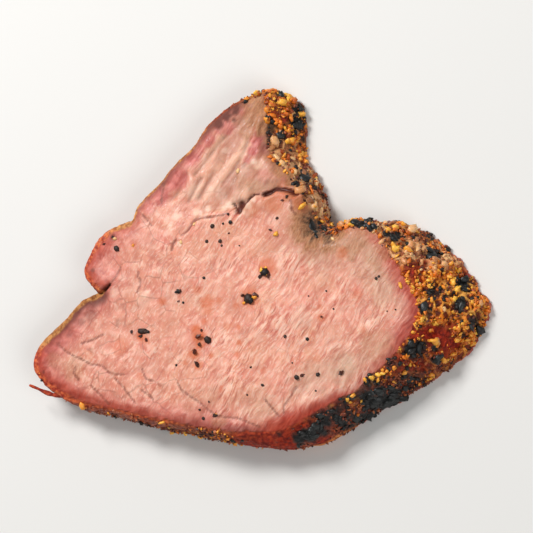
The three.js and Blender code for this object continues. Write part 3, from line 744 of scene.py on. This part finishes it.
def broken_shapes(rng, segments, rough, length, flatness, slimmest=0.6, variants=12):
    """A few uneven little stones of about unit radius, each as its vertices and its triangles."""
    shapes = []
    for _ in range(variants):
        bm = bmesh.new()
        bmesh.ops.create_uvsphere(bm, u_segments=segments, v_segments=segments - 1, radius=1)
        bmesh.ops.triangulate(bm, faces=bm.faces)
        seat = Vector(rng.uniform(-50, 50, 3))
        for vert in bm.verts:
            lump = noise.noise(vert.co * 1.6 + seat) + 0.5 * noise.noise(vert.co * 4 + seat)
            vert.co *= 1 + rough * lump
        size = (rng.uniform(1, length), rng.uniform(slimmest, 1), rng.uniform(*flatness))
        bmesh.ops.scale(bm, vec=size, verts=bm.verts)
        bm.verts.index_update()
        corners = [[vert.index for vert in face.verts] for face in bm.faces]
        shapes.append((np.array([vert.co for vert in bm.verts]), np.array(corners)))
        bm.free()
    return shapes


def grains(name, drawn, own, shapes, rng, lift, tilt, rounded=True, tones=(0, 1)):
    """One mesh of many grains, their middles raised above the surface by lift times their size: those drawn
    at random, and the ones in their own places, which have their own range of tones."""
    points, faces, shade_of, start = [], [], [], 0
    places, normals, sizes = (np.concatenate(column) for column in zip(drawn, on_face(own)))
    shades = np.concatenate([rng.random(len(drawn[0])), rng.uniform(*tones, len(own))])
    for place, normal, size, shade in zip(places, normals, sizes, shades):
        verts, corners = shapes[rng.integers(len(shapes))]
        lean = Euler((rng.normal(0, tilt), rng.normal(0, tilt), rng.uniform(0, 2 * math.pi)))
        turn = np.array(Vector(normal).to_track_quat("Z", "Y").to_matrix() @ lean.to_matrix())
        grain = place + normal * size * lift + (verts * size) @ turn.T
        grain[:, 2] += max(0, 0.05 - grain[:, 2].min())
        grain[:, 2] -= max(0, grain[:, 2].max() - cad_box[1][2] / MM - 0.2)
        points.append(grain)
        faces.append(corners + start)
        shade_of.append(np.full(len(verts), shade))
        start += len(verts)
    mesh = bpy.data.meshes.new(name)
    mesh.from_pydata(np.concatenate(points) * MM, [], np.concatenate(faces).tolist())
    mesh.polygons.foreach_set("use_smooth", np.full(len(mesh.polygons), rounded))
    piece = placed(name, mesh)
    paint(piece, "tone", np.concatenate(shade_of))
    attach(piece, "root")
    return piece


def scattered(rng, density, count, least, spread, power=2):
    """Places, normals and radii of grains on the slice, drawn by area and by density. A radius is from least
    to least and spread together, and the small ones are the most common."""
    weight = face_area * np.maximum(0, density)[first_vertex]
    chosen = rng.choice(len(weight), count, p=weight / weight.sum())
    place = face_middle[chosen] + rng.uniform(-0.2, 0.2, (count, 3))
    return place, face_normal[chosen], least + spread * rng.random(count) ** power


def rub(name, dark, middle, light, roughness, glow=0.0):
    """A baked spice: each grain has its own tone between three, a thin greasy gloss, and a glow where light
    gets into it."""
    soft = {"Subsurface Weight": glow, "Subsurface Radius": (1.0, 0.6, 0.25), "Subsurface Scale": 0.5 * MM}
    material, tree, shader = blank(name, {**soft, "Roughness": roughness})
    tone = node(tree, "Attribute", attribute_name="tone").outputs["Fac"]
    where = node(tree, "TexCoord").outputs["Object"]
    mottle = node(tree, "TexNoise", {"Vector": where, "Scale": 1 / (0.5 * MM), "Detail": 2}).outputs[0]
    mixed = node(tree, "Math", {0: mottle, 1: 0.5, 2: tone}, operation="MULTIPLY_ADD").outputs[0]
    colour = coats(tree, dark, (middle, mixed, 0.2, 0.7), (light, mixed, 0.75, 1.3))
    tree.links.new(colour, shader.inputs["Base Color"])
    raised = node(tree, "Bump", {"Height": mottle, "Strength": 0.5, "Distance": 0.15 * MM})
    tree.links.new(raised.outputs[0], shader.inputs["Normal"])
    return material


def on_face(spots):
    """The places, normals and sizes of grains that lie on the upper face at given x, y and radius."""
    found = []
    for x0, y0, radius in spots:
        _, place, up, _ = meat.ray_cast(Vector((x0, y0, 20)) * MM, (0, 0, -1))
        found.append((np.array(place) / MM, np.array(up), radius))
    return tuple(np.array(column) for column in zip(*found))


clumps = smooth(noise_at(spot, 3.5, 20) * 2.2 + 0.45)
rng = np.random.default_rng(11)
shapes = broken_shapes(rng, segments=5, rough=0.9, length=1.35, flatness=(0.55, 0.95))
rub_weight = bark * (around(RUB) + 0.1 * smooth((drop - 0.2) / 0.2)) * (1 - 0.9 * rusty) * (1 - 0.8 * peachy)
crumbly = rub_weight * (0.25 + clumps) * (1.1 - around(GOLD)) * (1 - 0.95 * charred)
drawn = scattered(rng, crumbly, count=3000, least=0.16, spread=0.28)
look = {"lift": 0.3, "tilt": 0.5, "rounded": False, "tones": (-0.2, 0.2)}
spice = grains("spice_crumb", drawn, SPICE_ON_FACE, shapes, rng, **look)
spice.data.materials.append(rub("baked_paprika", "#2c120b", "#7c331d", "#c4713f", 0.5))

# Garlic granules
# Dried garlic, toasted to a golden orange by the smoke. It lies thickest in clusters on the barked end, half
# sunk in the crust, and is a little coarser at the top of the upper lobe.
GARLIC_ON_FACE = [
    (8.6, 14.2, 0.6), (14.2, 20.2, 0.8), (19.8, 19.2, 1.1), (20.6, 18.2, 0.8), (6.6, 5.6, 0.7),
    (5.3, 6.3, 0.5), (6.3, 6.7, 0.4), (3.4, 45.8, 1), (-24.5, 12.3, 0.35), (1.2, -0.9, 0.4), (3.9, 0.4, 0.5),
    (35.2, 10.5, 1.1), (34.8, 11.3, 0.7), (38, 10.2, 1), (25.9, 16.3, 0.9), (25.6, 17.4, 0.6),
    (8.5, 43.8, 1.1), (9.5, 44.6, 0.8), (11.8, 41.5, 0.9), (13.4, 35.5, 0.8), (15.4, 28.6, 0.9),
    (12.8, 30.8, 0.7), (9.4, 35.2, 0.8), (41.4, -4.8, 0.8), (43.8, -9.8, 1), (47.6, 6, 0.8), (47, 3.2, 0.9),
    (48, 1.8, 0.9), (47.8, -0.6, 0.8), (44.8, -13.6, 0.9), (34.6, 15.4, 0.8), (36.8, 2.4, 0.5),
    (-36.8, -22.9, 0.8), (48.2, 10.6, 0.9), (28.6, -18.2, 0.6), (30, -17.6, 0.7), (31.2, -17, 0.6),
    (32.4, -16.8, 0.5), (33.4, -16.2, 0.5), (24.4, -22.4, 0.6), (25.6, -21.6, 0.6), (16.4, 20.6, 0.7),
    (18.6, 20.8, 0.6), (-5.2, -25.5, 0.4),
]  # x, y and radius
clustered = smooth(noise_at(spot, 5, 21) * 2.5 + 0.55)
gilded = around(GOLD) * (0.06 + clustered) * (1.02 - charred) * (1 - 0.7 * amber) + 0.1 * amber
where, normal, size = scattered(rng, rub_weight * gilded, count=1400, least=0.18, spread=0.42)
drawn = where, normal, size * (1 + 0.35 * near_angle(where[:, 0], where[:, 1], 1.3, 0.5))
shapes = broken_shapes(rng, segments=6, rough=0.7, length=1.5, flatness=(0.5, 0.85))
look = {"lift": 0.2, "tilt": 0.6, "tones": (0.75, 1.15)}
garlic = grains("garlic_granules", drawn, GARLIC_ON_FACE, shapes, rng, **look)
garlic.data.materials.append(rub("toasted_garlic", "#8a3308", "#ee7d1b", "#ffbe46", 0.42, glow=0.3))

# Clots of fat
# Rendered fat that has run out with some of the rub and set in pale, waxy lumps. They sit on the bark above
# the barked end and round the notch.
FAT_ON_FACE = [
    (16.4, 20.6, 1.2), (17.2, 21.4, 1), (18.6, 19.8, 1.1), (17.4, 19, 0.9), (15.6, 22.4, 1),
    (19.4, 18.6, 0.8), (21.2, 13, 0.6), (-13.4, 12.8, 0.5), (-10.2, 16.8, 0.4), (7.8, 31.6, 0.8),
    (10.6, 31.4, 0.7), (9.4, 30, 0.9), (11.6, 28.4, 1), (15.4, 26.2, 0.9), (-29, 14, 0.5), (-0.6, 28.6, 0.5),
    (40.6, 2.6, 0.6), (40.8, 6, 0.5), (47.4, 12, 0.7), (49.4, 8.8, 0.9),
]  # x, y and radius
fatty = bark * around(RUB) * np.maximum(0.3 * around(TAN), peachy)
drawn = scattered(rng, fatty, count=120, least=0.35, spread=0.9, power=1.5)
shapes = broken_shapes(rng, segments=6, rough=0.6, length=1.5, flatness=(0.45, 0.7))
clots = grains("fat_clots", drawn, FAT_ON_FACE, shapes, rng, lift=-0.1, tilt=0.3, tones=(0.8, 1.15))
clots.data.materials.append(rub("baked_fat", "#925834", "#d6925b", "#f5c38b", 0.4, glow=0.4))

# Flakes of char
# Crust that the fire has burnt black and brittle, with a faint grey gloss. The flakes lie flat in the burnt
# patches and in the notch, still stuck to the bark.
CHAR_ON_FACE = [
    (16.5, 15.8, 1.4), (17.6, 16.6, 1.1), (17.2, 14.8, 0.8), (18.8, 15.3, 0.8), (19.6, 15.8, 0.7),
    (20.2, 16.4, 0.8), (17.6, 13.6, 0.6), (20.8, 17.2, 0.8), (30.2, -22.4, 1.7), (31.6, -23.2, 1.4),
    (33, -21.4, 1.6), (34.4, -20.8, 1.2), (39, -12, 1.4), (40.4, -11, 1.3), (27.4, 15.6, 1.1),
    (28.6, 15.9, 1), (34.4, 13.5, 0.9), (35.6, 13.2, 0.8), (14.6, -30.4, 1), (16.4, -29.4, 1.2),
    (18, -28.2, 1.2), (28.8, -23.6, 1.5), (29.4, -21.6, 1.3), (31, -20.8, 1.3), (32.6, -22.8, 1.8),
    (34.8, -22.4, 1.3), (36.2, -19.8, 1.1), (27.2, -24.6, 1.2), (21.2, -26.6, 1), (22, -26.8, 1.2),
    (25, -26.4, 1.2), (37.4, -18, 1.1),
]  # x, y and radius
drawn = scattered(rng, bark * charred**2 * (around(RUB) + 0.4), count=170, least=0.6, spread=1.0)
shapes = broken_shapes(rng, segments=6, rough=0.5, length=1.4, flatness=(0.35, 0.55))
char = grains("char_flakes", drawn, CHAR_ON_FACE, shapes, rng, lift=-0.2, tilt=0.3)
char.data.materials.append(rub("char", "#040404", "#0b0b0a", "#202423", 0.45))

# Black pepper
# Peppercorns, cracked coarse. Some are baked into the bark, and others lie on the face, where the knife has
# dragged them.
PEPPER_ON_FACE = [
    (2.3, 0.3, 1.3), (2.7, -0.3, 1.1), (1.9, -0.3, 1), (6, 5.8, 1.2), (-7.1, -9, 1.1), (-22.9, -6.7, 0.65),
    (-22.4, -6.7, 0.85), (-21.9, -6.75, 0.85), (-21.4, -6.8, 0.7), (-20.9, -6.9, 0.5), (-9.4, -14.4, 0.5),
    (-14.3, 1.85, 0.5), (-13.9, 1.95, 0.65), (-13.5, 1.95, 0.55), (-9.1, -9.9, 0.4), (2, -21.2, 0.3),
    (13.3, -17.5, 0.75), (18.1, -16.9, 0.65), (23.3, -16.6, 0.5), (15.7, -9.1, 0.55), (10.6, -8.4, 0.5),
    (-6, 16.2, 0.7), (-28.5, 11.8, 0.9), (-9.2, -8.2, 0.45), (-10, -11.6, 0.4), (-14.3, -14.4, 0.35),
    (-12.8, -0.5, 0.4), (-8, 4.8, 0.45), (-7.3, 12.9, 0.5), (-4.2, 12.9, 0.55), (-1.8, 17, 0.55),
    (-3.5, 16.7, 0.35), (-3.9, 11.9, 0.35), (-2.2, 14.6, 0.3), (31.3, 4, 0.5), (31.9, 4.5, 0.4),
    (19.9, 1.5, 0.3), (21.6, -2.5, 0.3), (-5.4, -25.6, 0.5), (14.6, -17.1, 0.4), (5.5, -19.1, 0.45),
    (17.7, -20.5, 0.3), (2.8, -15.1, 0.35), (8.9, 17.7, 0.45), (-2.3, 18.8, 0.45), (0.2, 11.8, 0.25),
    (-29.6, 14.4, 0.4), (-6.7, -22.6, 0.3), (-8.8, -24.4, 0.35), (-7.9, -26.3, 0.5), (33.8, -3.2, 0.25),
    (35.7, -2.9, 0.25), (12.3, -14.3, 0.25), (16, 0.4, 0.25),
]  # x, y and radius
peppery = rub_weight * (0.3 + clumps) * (1.1 - 0.7 * around(GOLD))
drawn = scattered(rng, peppery, count=420, least=0.25, spread=0.45)
dragged = [(x0, y0, 0.85 * radius) for x0, y0, radius in PEPPER_ON_FACE]
shapes = broken_shapes(rng, segments=6, rough=0.35, length=1.1, flatness=(0.5, 0.75), slimmest=0.85)
pepper = grains("black_pepper", drawn, dragged, shapes, rng, lift=0.15, tilt=0.4)
pepper.data.materials.append(rub("cracked_pepper", "#070504", "#150d09", "#3d2113", 0.6))

# The floor, the light and the camera
# A plain pale table, painted matt, under the soft light of two square studio lamps. It is seen from almost
# straight above.
FLOOR_RADIUS = 3.0
bm = bmesh.new()
bmesh.ops.create_circle(bm, cap_ends=True, segments=64, radius=FLOOR_RADIUS)
floor = object_from(bm, "floor")
floor.data.materials.append(blank("matt_paint", {"Base Color": hex_colour("#e4e2de"), "Roughness": 0.8})[0])

world = bpy.data.worlds.new("studio")
bpy.context.scene.world = world
world.use_nodes = True
sky = world.node_tree.nodes["Background"].inputs
sky["Color"].default_value, sky["Strength"].default_value = hex_colour("#eef0f2"), 0.3


def softbox(name, place, side, watts):
    """A square lamp that faces the slice."""
    lamp = bpy.data.lights.new(name, "AREA")
    lamp.size, lamp.energy = side, watts
    made = placed(name, lamp)
    made.location = place
    made.rotation_euler = (-Vector(place)).to_track_quat("-Z", "Y").to_euler()


softbox("key", place=(-0.30, 0.38, 0.55), side=0.22, watts=5.0)
softbox("fill", place=(0.5, -0.3, 0.6), side=0.5, watts=2.0)

TILT_RIGHT, TILT_FRONT = math.radians(15), math.radians(4)  # how far the view leans from straight down
VIEW_DISTANCE, VIEW_WIDTH = 1.5, 0.118
target = Vector((4.8, 7.5, 5.0)) * MM
back = Vector((math.tan(TILT_RIGHT), -math.tan(TILT_FRONT), 1)).normalized()
camera = placed("camera", bpy.data.cameras.new("camera"))
right = Vector((0, 1, 0)).cross(back).normalized()
camera.matrix_world = Matrix((right, back.cross(right), back)).transposed().to_4x4()
camera.location = target + back * VIEW_DISTANCE
camera.data.lens = camera.data.sensor_width * VIEW_DISTANCE / VIEW_WIDTH
bpy.context.scene.camera = camera
bpy.context.scene.view_settings.view_transform = "Standard"
